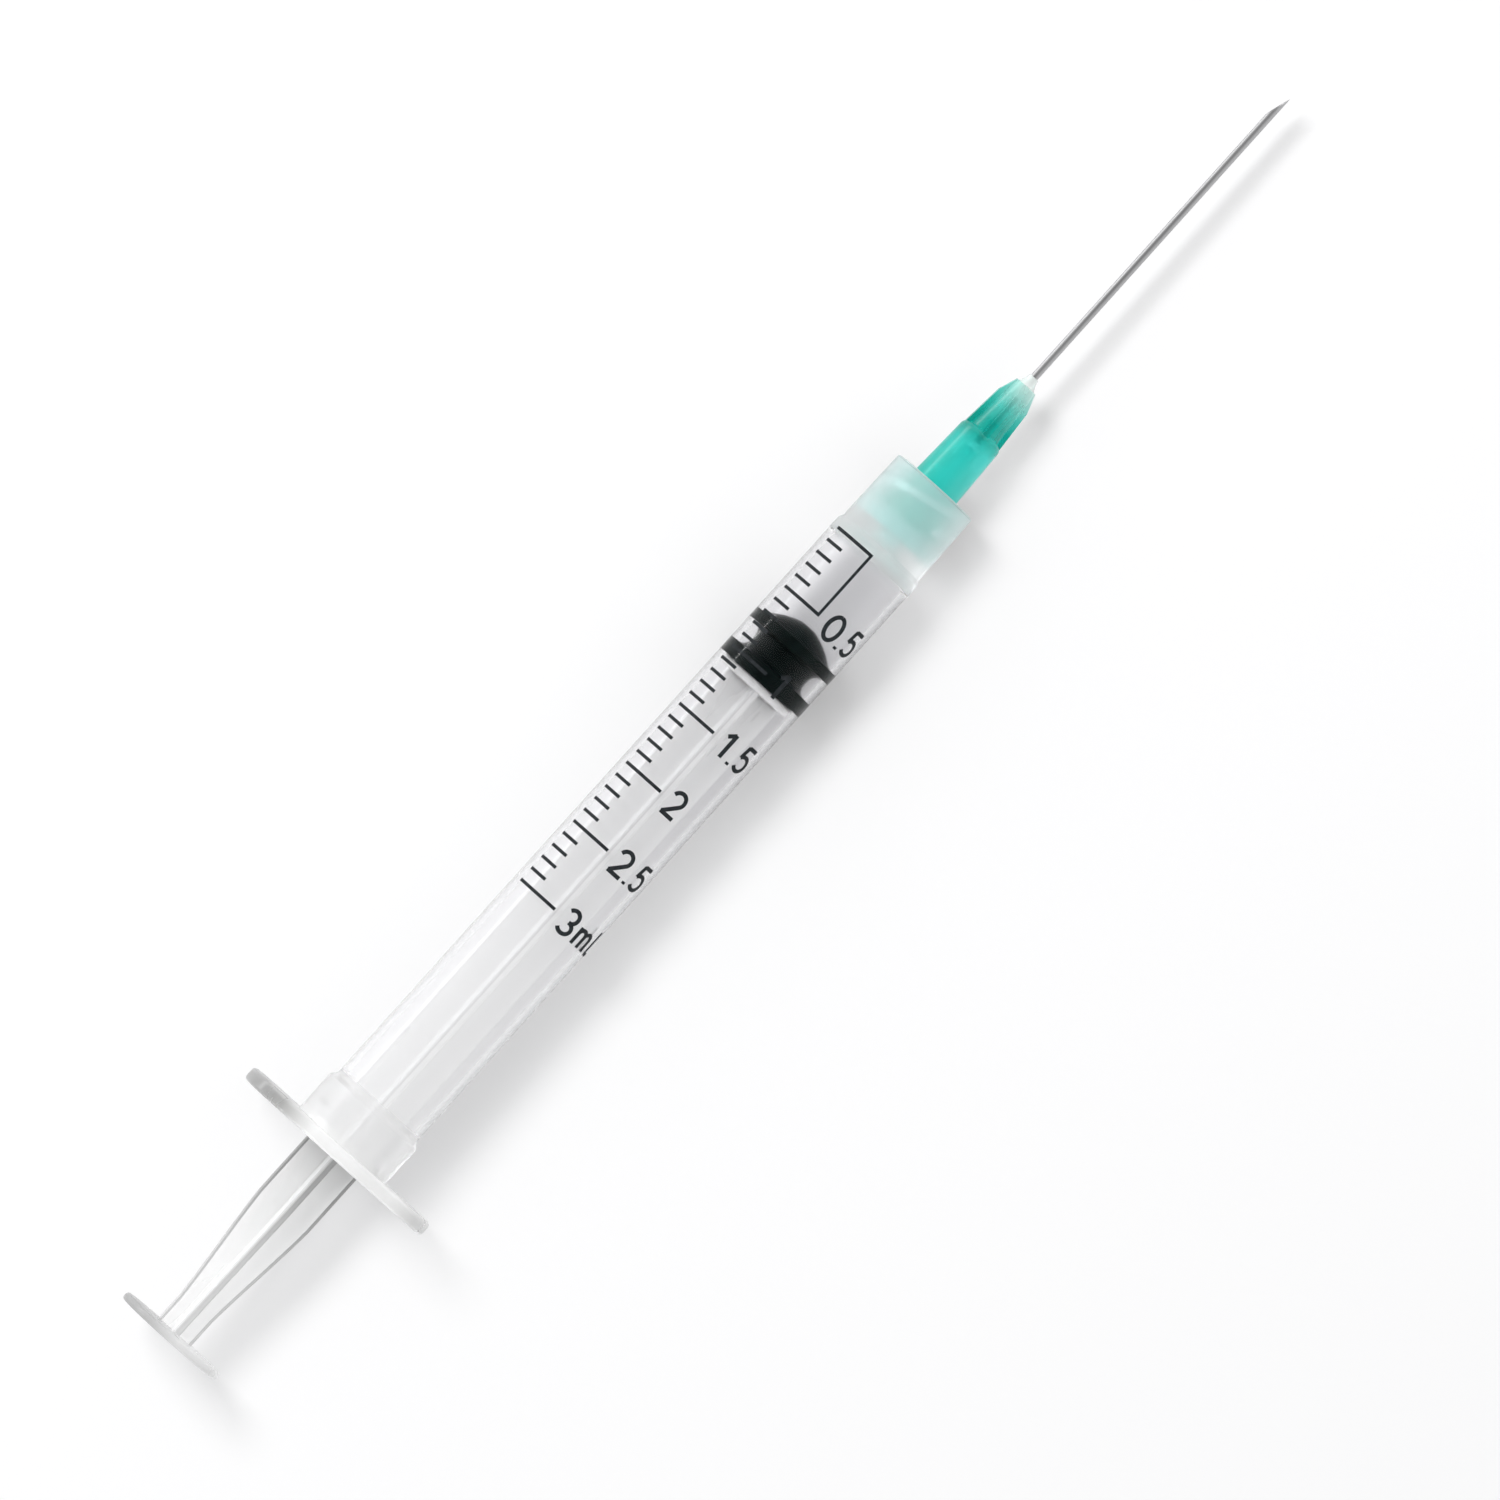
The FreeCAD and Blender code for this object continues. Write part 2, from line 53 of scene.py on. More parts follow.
def named(rows, name):
    """The row of this name, from the frame's joints or mounts."""
    for row in rows:
        if row["name"] == name:
            return row
    raise ValueError("nothing is named " + name)


# The axis is the direction of the plunger's slide, and TILT is how far the nose dips
MOUNTS = frame["record"]["mounts"]
AXIS = Vector(named(frame["joints"], "plunger_slide")["axis"]).normalized()
TILT = math.atan2(-AXIS.z, AXIS.x)
LEAN = Matrix.Rotation(TILT, 4, "Y")
SIDEWAYS = Vector((0, 1, 0))

# Barrel, in the sizes of the CAD. ML is the travel of one millilitre in the bore, and faces beyond
# OUTSIDE_R are outer ones. The front of the bore is a cone as long as the stopper's nose.
BORE_R = 4.5
BARREL_R = named(MOUNTS, "barrel_outside")["dims"]["r_mm"]
OUTSIDE_R = BORE_R + 0.3
ML = 4000 / math.pi / (2 * BORE_R) ** 2
FLANGE_REAR = -80.3
FLANGE_THICK = 1.5
FLANGE_SPAN = 23.6
FLANGE_WIDTH = 13.6
FLANGE_ROUND = 0.4
FLANGE_CORNER_POWER = 12
FLANGE_FRONT = FLANGE_REAR + FLANGE_THICK
NECK_R = 5.75
NECK_END = FLANGE_FRONT + 4.6
NECK_SLOPE = 0.5
RING_R = 4.36
RING_REAR = FLANGE_REAR + 2.6
RING_FRONT = RING_REAR + 0.8
RING_SLOPE = 0.4
SHOULDER = 0.9
SHOULDER_SLOPE = 0.5
FRONT_GAP = 0.2
NOSE_LENGTH = 1.75
BORE_CHAMFER = 0.4

# The tube is clear between these two stations, and frosted at the neck and in front
CLEAR_REAR = NECK_END + 1.1
CLEAR_FRONT = FRONT_GAP - 0.6

# Lock collar, its thread and the nozzle
COLLAR_FLOOR = FRONT_GAP + NOSE_LENGTH + 1.0
COLLAR_MOUTH = COLLAR_FLOOR + 6.65
COLLAR_BASE_R = 5.0
COLLAR_MOUTH_R = 4.9
THREAD_R = 4.0
THREAD_CREST_R = 3.55
THREAD_SINK = 0.05
THREAD_LEAD = 5.0
THREAD_CREST = 0.45
THREAD_ROOT = 0.85
THREAD_LUG_GAP = 0.62
THREAD_BACK = math.radians(60)
THREAD_FORTH = math.radians(185)
THREAD_STEPS = 160
THREAD_FADE_STEPS = 12
NOZZLE_TIP = COLLAR_MOUTH + 1.9
NOZZLE_TIP_R = 1.965
LUER_SLOPE = 0.03
WAY_R = 0.95

# Roundings of the barrel's corners
NECK_ROUND = 0.25
NECK_BLEND = 0.5
SHOULDER_ROUND = 0.3
COLLAR_BASE_ROUND = 0.2
COLLAR_MOUTH_ROUND = 0.25
COLLAR_FLOOR_ROUND = 0.3
NOZZLE_TIP_ROUND = 0.15
WAY_ROUND = 0.1
CONE_ROUND = 0.2
RING_ROUND = 0.1

# Stopper, from its rear: a sealing rib, a groove, the front rib and a blunt, bulged nose
STOPPER_FRONT = -0.7 * ML
GROOVE_FRONT = STOPPER_FRONT - 1.33
GROOVE_REAR = GROOVE_FRONT - 2.7
STOPPER_REAR = GROOVE_REAR - 1.75
STOPPER_HOLE_R = 2.0
GROOVE_R = 3.47
GROOVE_POWER = 2.6
GROOVE_STEPS = 16
SEAL_R = BORE_R + 0.015
SEAL_CHAMFER = 0.12
SEAL_FRONT_RUN = 0.15
SEAL_FRONT_DROP = 0.2
NOSE_STEP = 0.35
NOSE_FLAT_R = 0.9
NOSE_BULGE = 0.21
NOSE_STEPS = 14

# Needle hub
HUB_MOUTH = COLLAR_FLOOR + 1.85
HUB_NOSE = HUB_MOUTH + 18.3
HUB_ROLL = math.radians(8)
LUG_LENGTH = 1.3

# Plunger rod: thumb rest, cross of ribs, guide disc, stem and head. The outer face of the top rib
# carries painted shade: darker before LIGHT_STRIP, counted sideways from its middle, lighter beyond it.
ROD_FRONT = STOPPER_REAR - 0.05
ROD_REAR = ROD_FRONT - 87.9
ROD_ROLL = math.radians(7)
RIBS = 4
THUMB_R = 6.2
THUMB_FRONT = ROD_REAR + 1.0
THUMB_DISH = 0.15
THUMB_ROUND = 0.35
GRIP_END = THUMB_FRONT + 3.0
GUIDE_START = GRIP_END + 13.2
GRIP_HALF = 2.15
GUIDE_HALF = 3.3
SPAN_STEPS = 12
RIB_HALF_THICK = 0.4
RIB_EDGE = 0.34
RIB_CHAMFER = 0.12
RIB_FILLET = 0.18
RIB_FILLET_STEPS = 4
LIGHT_STRIP = 0.12
DISC_REAR = ROD_FRONT - 0.8
DISC_R = 4.2
DISC_ROUND = 0.2
STEM_R = 1.9
STEM_ROUND = 0.1
STEM_END = ROD_FRONT + 1.0
HEAD_R = 2.5
HEAD_END = STEM_END + 2.0
HEAD_SLOPE = 0.8
HEAD_ROUND = 0.2
PIECE_OVERLAP = 0.05

# Numerals of the scale
FIGURES = ("0.5", "1", "1.5", "2", "2.5", "3 mL")
FIGURE_HEIGHT = 3.0
FIGURE_STROKE = 0.44
FIGURE_START = 1.05
FIGURE_GAP = 0.36
FIGURE_SPACE = 0.15
INK_THICK = 0.03
INK_SINK = 0.004

# Steps round a turned shape and along a rounded corner. LEAST_COSINE keeps a divisor from zero.
ROUND_STEPS = 192
CORNER_STEPS = 4
LEAST_COSINE = 1e-3

# The zero line's centre: the flange's front face fixes its place along the axis
FLANGE_FACE = Vector(named(MOUNTS, "flange_front_face")["pos_m"])
ORIGIN = FLANGE_FACE - AXIS * (FLANGE_FRONT * MM) - Vector((0, FLANGE_FACE.y, 0))
PLACE = Matrix.Translation(ORIGIN) @ LEAN

# Kinds of face, each the place of its material in the list of its piece
BARREL_KINDS = ("wall", "bore", "flange", "collar", "socket", "rim", "neck", "flange_back")
WALL, BORE, FLANGE, COLLAR, SOCKET, RIM, NECK, FLANGE_BACK = range(len(BARREL_KINDS))
ROD_KINDS = ("rod", "rod_edge", "thumb", "rod_top")
ROD, ROD_EDGE, THUMB, ROD_TOP = range(len(ROD_KINDS))


# Mesh helpers
def new_object(name, bm, body, smooth_angle=35):
    """Puts a mesh that is drawn about its own X axis, in millimetres, on the syringe's axis."""
    bmesh.ops.recalc_face_normals(bm, faces=bm.faces)
    mesh = bpy.data.meshes.new(name)
    bmesh.ops.transform(bm, matrix=PLACE @ Matrix.Scale(MM, 4), verts=bm.verts)
    limit = math.radians(smooth_angle)
    for edge in bm.edges:
        edge.smooth = edge.calc_face_angle(0) < limit
    for face in bm.faces:
        face.smooth = True
    bm.to_mesh(mesh)
    bm.free()
    made = bpy.data.objects.new(name, mesh)
    bpy.context.scene.collection.objects.link(made)
    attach(made, body)
    return made


def around(station, radius, angle):
    """A point at an angle from the top, counted towards +Y."""
    return Vector((station, radius * math.sin(angle), radius * math.cos(angle)))


def ring(bm, station, radius, steps):
    """Points round the axis. The radius is a number, or a function of the angle. 0 gives one point."""
    if radius == 0:
        return [bm.verts.new((station, 0, 0))]
    spots = []
    for i in range(steps):
        angle = WHOLE_TURN * i / steps
        reach = radius(angle) if callable(radius) else radius
        spots.append(bm.verts.new(around(station, reach, angle)))
    return spots


def lathe(bm, profile, steps=ROUND_STEPS, closed=True):
    """Joins the rings of a list of (station, radius), and the last to the first where it is closed."""
    rings = [ring(bm, station, radius, steps) for station, radius in profile]
    pairs = list(zip(rings, rings[1:]))
    if closed:
        pairs.append((rings[-1], rings[0]))
    for first, second in pairs:
        if len(first) == 1 and len(second) == 1:
            continue
        for i in range(steps):
            j = (i + 1) % steps
            if len(first) == 1:
                bm.faces.new((first[0], second[j], second[i]))
            elif len(second) == 1:
                bm.faces.new((first[i], first[j], second[0]))
            else:
                bm.faces.new((first[i], first[j], second[j], second[i]))


def skin(bm, rows, kinds=None):
    """Joins rows of points, each a closed outline, into a skin with both its ends capped."""
    count = len(rows[0])
    for first, second in zip(rows, rows[1:]):
        for i in range(count):
            j = (i + 1) % count
            face = bm.faces.new((first[i], first[j], second[j], second[i]))
            if kinds:
                face.material_index = kinds[i]
    bm.faces.new(rows[0])
    bm.faces.new(tuple(reversed(rows[-1])))


def round_corner(profile, index, radius, count=CORNER_STEPS):
    """Replaces one corner of a profile by a small arc."""
    before, corner, after = (
        Vector((*profile[k % len(profile)], 0)) for k in (index - 1, index, index + 1)
    )
    back = (before - corner).normalized()
    forth = (after - corner).normalized()
    angle = back.angle(forth)
    reach = radius / math.tan(angle / 2)
    start, end = corner + back * reach, corner + forth * reach
    centre = corner + (back + forth).normalized() * (radius / math.sin(angle / 2))
    spots = []
    for i in range(count + 1):
        direction = (start - centre).slerp(end - centre, i / count)
        spot = centre + direction.normalized() * radius
        spots.append((spot.x, spot.y))
    return spots


def rounded_profile(corners):
    """A profile from (station, radius, rounding) rows, its marked corners rounded."""
    flat = [(x, r) for x, r, _ in corners]
    out = []
    for i, (x, r, rounding) in enumerate(corners):
        out.extend(round_corner(flat, i, rounding) if rounding else [(x, r)])
    return out


# Darkest and lightest colour of each material
BARREL_COLOURS = ((0.98, 0.98, 0.987), (0.995, 0.995, 1.0))
NECK_COLOURS = ((0.93, 0.93, 0.93), (0.96, 0.96, 0.96))
FLANGE_COLOURS = ((0.9, 0.902, 0.9), (0.95, 0.952, 0.95))
FLANGE_BACK_COLOURS = ((0.86, 0.862, 0.86), (0.9, 0.902, 0.9))
COLLAR_COLOURS = ((0.8, 0.825, 0.825), (0.84, 0.865, 0.865))
SOCKET_COLOURS = ((0.5, 0.84, 0.82), (0.56, 0.87, 0.85))
# The collar's rim is a darker grey than the collar: painted shade for the dark line along its mouth
RIM_PAINTED_SHADE_COLOURS = ((0.5, 0.56, 0.56), (0.58, 0.64, 0.64))
ROD_COLOURS = ((0.94, 0.942, 0.942), (0.98, 0.982, 0.982))
# The top rib's outer face is a darker copy of the rod's colour, a painted shade
RIB_TOP_PAINTED_SHADE_COLOURS = ((0.74, 0.742, 0.742), (0.79, 0.792, 0.792))
RIB_EDGE_COLOURS = ((0.95, 0.95, 0.95), (0.98, 0.98, 0.98))
HUB_COLOURS = ((0.9, 0.92, 0.92), (0.97, 0.98, 0.98))
GLUE_COLOURS = ((0.9, 0.97, 0.95), (0.95, 0.99, 0.975))
RUBBER_COLOURS = ((0.001, 0.003, 0.003), (0.003, 0.008, 0.0075))
STEEL_COLOURS = ((0.4, 0.4, 0.405), (0.5, 0.5, 0.505))
INK_COLOURS = ((0.013, 0.016, 0.018), (0.032, 0.036, 0.04))

# Tint that a lamp's light takes as it passes a face of each plastic, and the share of the light
# from other surfaces that passes
BARREL_TINT = (0.7, 0.702, 0.707)
NECK_TINT = (0.76, 0.762, 0.767)
FLANGE_TINT = (0.84, 0.842, 0.844)
COLLAR_TINT = (0.74, 0.742, 0.747)
SOCKET_TINT = (0.74, 0.752, 0.752)
ROD_TINT = (0.72, 0.722, 0.725)
HUB_TINT = (0.7, 0.706, 0.706)
GLUE_TINT = (0.8, 0.84, 0.83)
PASSED_ON = 0.98

# Refractive indices. The thin barrel has a low one, because its edges are pale.
PLASTIC_INDEX = 1.49
BARREL_INDEX = 1.3
GLUE_INDEX = 1.52

# Strength of the mirror in a surface, and the tint that weakens it further all over the barrel
USUAL_GLOSS = 0.5
HUB_GLOSS = 0.25
PLASTIC_GLOSS = 0.15
DULL_GLOSS = 0.08
WALL_MIRROR = 0.3
FROSTED_MIRROR = 0.12

# Noise in a plastic as scale, detail and stretch, how far it moves the roughness either way, and
# the values between which most of a noise lies
PLASTIC_NOISE = (260.0, 3.0, (0.12, 1, 1))
ROUGH_SPREAD = 0.3
NOISE_LOW = 0.3
NOISE_HIGH = 0.7

# Way that light wanders inside milky plastic, in metres
MILK_REACH = 0.0016


def grey(level):
    return (level, level, level)


# Teal of the hub: deep where its plastic is thick, at the step in front of the socket, and pale at
# the thin nose. Its lighter stretch over the socket is partly painted light.
HUB_TEAL_AND_PAINTED_LIGHT = (
    (HUB_MOUTH, (0.012, 0.66, 0.56)),
    (12.5, (0.06, 0.76, 0.69)),
    (15.0, (0.04, 0.74, 0.67)),
    (16.4, (0.0, 0.46, 0.38)),
    (18.2, (0.0, 0.5, 0.42)),
    (20.0, (0.1, 0.66, 0.58)),
    (HUB_NOSE, (0.68, 0.92, 0.87)),
)
# Painted shade darkens its sides, the +Y side most, and leaves its middle lighter over the socket
HUB_PAINTED_SIDE_SHADE = (
    (-3.6, (0.5, 0.86, 0.82)),
    (-2.0, grey(1)),
    (0.2, grey(1)),
    (1.8, (0.3, 0.84, 0.8)),
    (3.6, (0.15, 0.7, 0.65)),
)
# Painted shade on the rod behind the flange, darkening towards it; the rod inside the barrel is plain
ROD_PAINTED_SHADE = (
    (-104.0, grey(0.93)),
    (-96.0, grey(0.95)),
    (-90.0, grey(0.85)),
    (-84.5, grey(0.77)),
    (-80.4, grey(0.6)),
    (-80.0, grey(1)),
)
# Stronger painted shade on the outer faces of its ribs, which draws them as dark lines behind the flange
RIB_EDGE_PAINTED_SHADE = (
    (-103.0, grey(0.68)),
    (-94.5, grey(0.6)),
    (-89.5, grey(0.5)),
    (-84.5, grey(0.36)),
    (-80.4, grey(0.31)),
    (-80.0, grey(1)),
)
# Painted shade: the thumb rest's front darkens towards its +Y side
THUMB_PAINTED_SHADE = (
    (-6.0, grey(0.82)),
    (-1.0, grey(0.78)),
    (2.5, grey(0.5)),
    (6.0, grey(0.4)),
)
# Painted shade on the flange: it is whitest beside the barrel, where most light leaves it, and greyest along its
# +Y wing
FLANGE_PAINTED_SHADE = (
    (-11.8, grey(0.6)),
    (-10.0, grey(0.74)),
    (-7.0, grey(0.94)),
    (3.5, grey(1)),
    (7.0, (0.57, 0.57, 0.565)),
    (9.0, grey(0.47)),
    (10.8, grey(0.36)),
    (11.8, grey(0.34)),
)
# The barrel lets less light through towards the flange, and all of it round the stopper
BARREL_HAZE = ((-78.0, 0.74), (-56.0, 0.82), (-30.0, 1.0))
# Painted shade: its colour turns a little grey towards the collar
BARREL_PAINTED_SHADE = (
    (-70.0, grey(1)),
    (-18.0, (0.965, 0.963, 0.968)),
    (0.0, (0.945, 0.945, 0.95)),
)


# Material helpers
def material(name):
    made = bpy.data.materials.new(name)
    made.use_nodes = True
    nodes, links = made.node_tree.nodes, made.node_tree.links
    nodes.clear()
    output = nodes.new("ShaderNodeOutputMaterial")
    shader = nodes.new("ShaderNodeBsdfPrincipled")
    links.new(shader.outputs["BSDF"], output.inputs["Surface"])
    return made, nodes, links, shader, output


def principled(mat):
    return next(node for node in mat.node_tree.nodes if node.type == "BSDF_PRINCIPLED")


def colour_ramp(nodes, stops):
    """A ramp from rows of place, between 0 and 1, and colour."""
    ramp = nodes.new("ShaderNodeValToRGB")
    for _ in stops[2:]:
        ramp.color_ramp.elements.new(0.5)
    for stop, (place, colour) in zip(ramp.color_ramp.elements, stops):
        stop.position = place
        stop.color = (*colour, 1)
    return ramp


def object_noise(nodes, links, scale, detail, stretch=(1, 1, 1)):
    """Noise that is fixed to the object, in its own coordinates."""
    coords = nodes.new("ShaderNodeTexCoord")
    mapping = nodes.new("ShaderNodeMapping")
    mapping.inputs["Scale"].default_value = stretch
    noise = nodes.new("ShaderNodeTexNoise")
    noise.inputs["Scale"].default_value = scale
    noise.inputs["Detail"].default_value = detail
    links.new(coords.outputs["Object"], mapping.inputs["Vector"])
    links.new(mapping.outputs["Vector"], noise.inputs["Vector"])
    return noise.outputs["Fac"]


def add_bump(nodes, links, shader, height, strength, distance):
    bump = nodes.new("ShaderNodeBump")
    bump.inputs["Strength"].default_value = strength
    bump.inputs["Distance"].default_value = distance
    links.new(height, bump.inputs["Height"])
    links.new(bump.outputs["Normal"], shader.inputs["Normal"])


def vary_roughness(nodes, links, shader, factor, low, high):
    """Lets a noise move the roughness between low and high."""
    spread = nodes.new("ShaderNodeMapRange")
    spread.inputs["To Min"].default_value = low
    spread.inputs["To Max"].default_value = high
    links.new(factor, spread.inputs["Value"])
    links.new(spread.outputs["Result"], shader.inputs["Roughness"])


def vary_colour(nodes, links, shader, factor, low, high):
    """Lets a noise move the colour between low and high."""
    ramp = colour_ramp(nodes, ((NOISE_LOW, low), (NOISE_HIGH, high)))
    links.new(factor, ramp.inputs["Fac"])
    links.new(ramp.outputs["Color"], shader.inputs["Base Color"])


def set_gloss(shader, gloss, mirror=1.0):
    shader.inputs["Specular IOR Level"].default_value = gloss
    shader.inputs["Specular Tint"].default_value = (*grey(mirror), 1)


def light_shadow(nodes, links, shader, output, tint):
    """Light from lamps and other surfaces passes a clear piece, so that its shadow isn't black."""
    path = nodes.new("ShaderNodeLightPath")
    either = nodes.new("ShaderNodeMath")
    either.operation = "MAXIMUM"
    links.new(path.outputs["Is Shadow Ray"], either.inputs[0])
    links.new(path.outputs["Is Diffuse Ray"], either.inputs[1])
    clear = nodes.new("ShaderNodeBsdfTransparent")
    weaken = nodes.new("ShaderNodeMix")
    weaken.data_type = "RGBA"
    # Inputs 6 and 7 and output 2 of this node are its colours, and input 0 is its share
    share, from_lamp, from_surface = weaken.inputs[0], weaken.inputs[6], weaken.inputs[7]
    from_lamp.default_value = (*tint, 1)
    from_surface.default_value = (*grey(PASSED_ON), 1)
    links.new(path.outputs["Is Diffuse Ray"], share)
    links.new(weaken.outputs[2], clear.inputs["Color"])
    mix = nodes.new("ShaderNodeMixShader")
    links.new(either.outputs["Value"], mix.inputs["Fac"])
    links.new(shader.outputs["BSDF"], mix.inputs[1])
    links.new(clear.outputs["BSDF"], mix.inputs[2])
    links.new(mix.outputs["Shader"], output.inputs["Surface"])


def clear_plastic(name, colours, passing, roughness, tint, index=PLASTIC_INDEX, gloss=USUAL_GLOSS,
                  mirror=1.0):
    """Plastic or glue that lets a share of the light pass."""
    made, nodes, links, shader, output = material(name)
    noise = object_noise(nodes, links, *PLASTIC_NOISE)
    vary_colour(nodes, links, shader, noise, *colours)
    smoothest = roughness * (1 - ROUGH_SPREAD)
    roughest = roughness * (1 + ROUGH_SPREAD)
    vary_roughness(nodes, links, shader, noise, smoothest, roughest)
    shader.inputs["Transmission Weight"].default_value = passing
    shader.inputs["IOR"].default_value = index
    set_gloss(shader, gloss, mirror)
    light_shadow(nodes, links, shader, output, tint)
    return made


def grainy(name, noise_sizes, colours, roughness, relief, gloss=USUAL_GLOSS):
    """An opaque material. Its noise is (scale, detail, stretch) and its relief (strength, metres)."""
    made, nodes, links, shader, _ = material(name)
    noise = object_noise(nodes, links, *noise_sizes)
    vary_colour(nodes, links, shader, noise, *colours)
    vary_roughness(nodes, links, shader, noise, *roughness)
    add_bump(nodes, links, shader, noise, *relief)
    set_gloss(shader, gloss)
    return made


def change_along(mat, stops, direction):
    """A colour that changes along a direction, given as (place in mm, colour) rows."""
    nodes, links = mat.node_tree.nodes, mat.node_tree.links
    start, end = stops[0][0], stops[-1][0]
    coords = nodes.new("ShaderNodeTexCoord")
    along = nodes.new("ShaderNodeVectorMath")
    along.operation = "DOT_PRODUCT"
    along.inputs[1].default_value = direction
    spread = nodes.new("ShaderNodeMapRange")
    spread.inputs["From Min"].default_value = ORIGIN.dot(direction) + start * MM
    spread.inputs["From Max"].default_value = ORIGIN.dot(direction) + end * MM
    ramp = colour_ramp(nodes, [((place - start) / (end - start), colour) for place, colour in stops])
    links.new(coords.outputs["Object"], along.inputs[0])
    links.new(along.outputs["Value"], spread.inputs["Value"])
    links.new(spread.outputs["Result"], ramp.inputs["Fac"])
    return ramp.outputs["Color"]


def shade_along(mat, stops, direction=AXIS):
    """The colour is multiplied by one that changes along a direction."""
    nodes, links = mat.node_tree.nodes, mat.node_tree.links
    shader = principled(mat)
    before = shader.inputs["Base Color"].links[0].from_socket
    times = nodes.new("ShaderNodeVectorMath")
    times.operation = "MULTIPLY"
    links.new(before, times.inputs[0])
    links.new(change_along(mat, stops, direction), times.inputs[1])
    links.new(times.outputs["Vector"], shader.inputs["Base Color"])


def haze_along(mat, stops):
    """The share of light that is let through changes along the axis, given as (station, share) rows."""
    shares = change_along(mat, [(place, grey(share)) for place, share in stops], AXIS)
    mat.node_tree.links.new(shares, principled(mat).inputs["Transmission Weight"])


def make_milky(mat):
    """The part of the light that isn't let through wanders a little way inside."""
    shader = principled(mat)
    shader.inputs["Subsurface Weight"].default_value = 1.0
    shader.inputs["Subsurface Radius"].default_value = (1, 1, 1)
    shader.inputs["Subsurface Scale"].default_value = MILK_REACH


# Materials of the barrel
def wall_plastic():
    made = clear_plastic("clear_polypropylene", BARREL_COLOURS, passing=1.0, roughness=0.12,
                         tint=BARREL_TINT, index=BARREL_INDEX, gloss=PLASTIC_GLOSS, mirror=WALL_MIRROR)
    # Painted shade towards the collar
    shade_along(made, BARREL_PAINTED_SHADE)
    haze_along(made, BARREL_HAZE)
    return made


def bore_plastic():
    made = clear_plastic("hazy_polypropylene", BARREL_COLOURS, passing=1.0, roughness=0.2,
                         tint=BARREL_TINT, index=BARREL_INDEX, gloss=PLASTIC_GLOSS, mirror=FROSTED_MIRROR)
    # Painted shade towards the collar, as on the wall
    shade_along(made, BARREL_PAINTED_SHADE)
    return made


def neck_plastic():
    return clear_plastic("frosted_neck", NECK_COLOURS, passing=0.8, roughness=0.4,
                         tint=NECK_TINT, index=BARREL_INDEX, gloss=PLASTIC_GLOSS, mirror=FROSTED_MIRROR)


def flange_plastic():
    made = clear_plastic("milky_polypropylene", FLANGE_COLOURS, passing=0.35, roughness=0.3,
                         tint=FLANGE_TINT)
    make_milky(made)
    # Painted shade across the flange
    shade_along(made, FLANGE_PAINTED_SHADE, SIDEWAYS)
    return made


def flange_back_plastic():
    return clear_plastic("milky_back", FLANGE_BACK_COLOURS, passing=0.2, roughness=0.3, tint=FLANGE_TINT)


def collar_plastic():
    return clear_plastic("frosted_polypropylene", COLLAR_COLOURS, passing=0.84, roughness=0.5,
                         tint=COLLAR_TINT, gloss=PLASTIC_GLOSS, mirror=FROSTED_MIRROR)


def socket_plastic():
    return clear_plastic("frosted_inside", SOCKET_COLOURS, passing=0.6, roughness=0.45,
                         tint=SOCKET_TINT, gloss=PLASTIC_GLOSS, mirror=FROSTED_MIRROR)


def rim_plastic():
    # Painted shade: the rim's grey draws the dark line along the collar's mouth
    return clear_plastic("collar_rim", RIM_PAINTED_SHADE_COLOURS, passing=0.5, roughness=0.3,
                         tint=BARREL_TINT, gloss=PLASTIC_GLOSS, mirror=FROSTED_MIRROR)


# Materials of the plunger rod
def rod_plastic():
    made = clear_plastic("rod_polypropylene", ROD_COLOURS, passing=0.15, roughness=0.3,
                         tint=ROD_TINT, gloss=PLASTIC_GLOSS)
    make_milky(made)
    # Painted shade on the rod behind the flange
    shade_along(made, ROD_PAINTED_SHADE)
    return made


def thumb_plastic():
    made = clear_plastic("thumb_rest", ROD_COLOURS, passing=0.1, roughness=0.3,
                         tint=ROD_TINT, gloss=PLASTIC_GLOSS)
    # A copy of the rod's plastic with painted shade across it
    shade_along(made, THUMB_PAINTED_SHADE, SIDEWAYS)
    return made


def rib_top_plastic():
    # A darker copy of the rod's plastic: painted shade on the top rib's outer face
    made = clear_plastic("rod_rib_top_painted_shade", RIB_TOP_PAINTED_SHADE_COLOURS, passing=0.15, roughness=0.3,
                         tint=ROD_TINT, gloss=PLASTIC_GLOSS)
    # Painted shade behind the flange, as on the rod
    shade_along(made, ROD_PAINTED_SHADE)
    return made


def rib_edge_plastic():
    made = clear_plastic("rod_rib_edge", RIB_EDGE_COLOURS, passing=0.25, roughness=0.3,
                         tint=ROD_TINT, gloss=PLASTIC_GLOSS)
    # Painted shade that draws the ribs' outer faces as dark lines
    shade_along(made, RIB_EDGE_PAINTED_SHADE)
    return made


# Materials of the stopper, the needle and the print
def hub_plastic():
    made = clear_plastic("teal_polypropylene", HUB_COLOURS, passing=0.6, roughness=0.3,
                         tint=HUB_TINT, gloss=HUB_GLOSS)
    # Teal along the hub, partly painted light over the socket
    shade_along(made, HUB_TEAL_AND_PAINTED_LIGHT)
    # Painted shade on the hub's sides
    shade_along(made, HUB_PAINTED_SIDE_SHADE, SIDEWAYS)
    return made


def clear_glue():
    return clear_plastic("clear_glue", GLUE_COLOURS, passing=0.5, roughness=0.1,
                         tint=GLUE_TINT, index=GLUE_INDEX)


def black_rubber():
    return grainy("black_rubber", (900.0, 6.0), RUBBER_COLOURS, roughness=(0.32, 0.5),
                  relief=(0.12, 0.0001), gloss=DULL_GLOSS)


def needle_steel():
    made = grainy("needle_steel", (900.0, 4.0, (0.03, 1, 1)), STEEL_COLOURS, roughness=(0.45, 0.6),
                  relief=(0.08, 0.00005))
    principled(made).inputs["Metallic"].default_value = 1.0
    return made


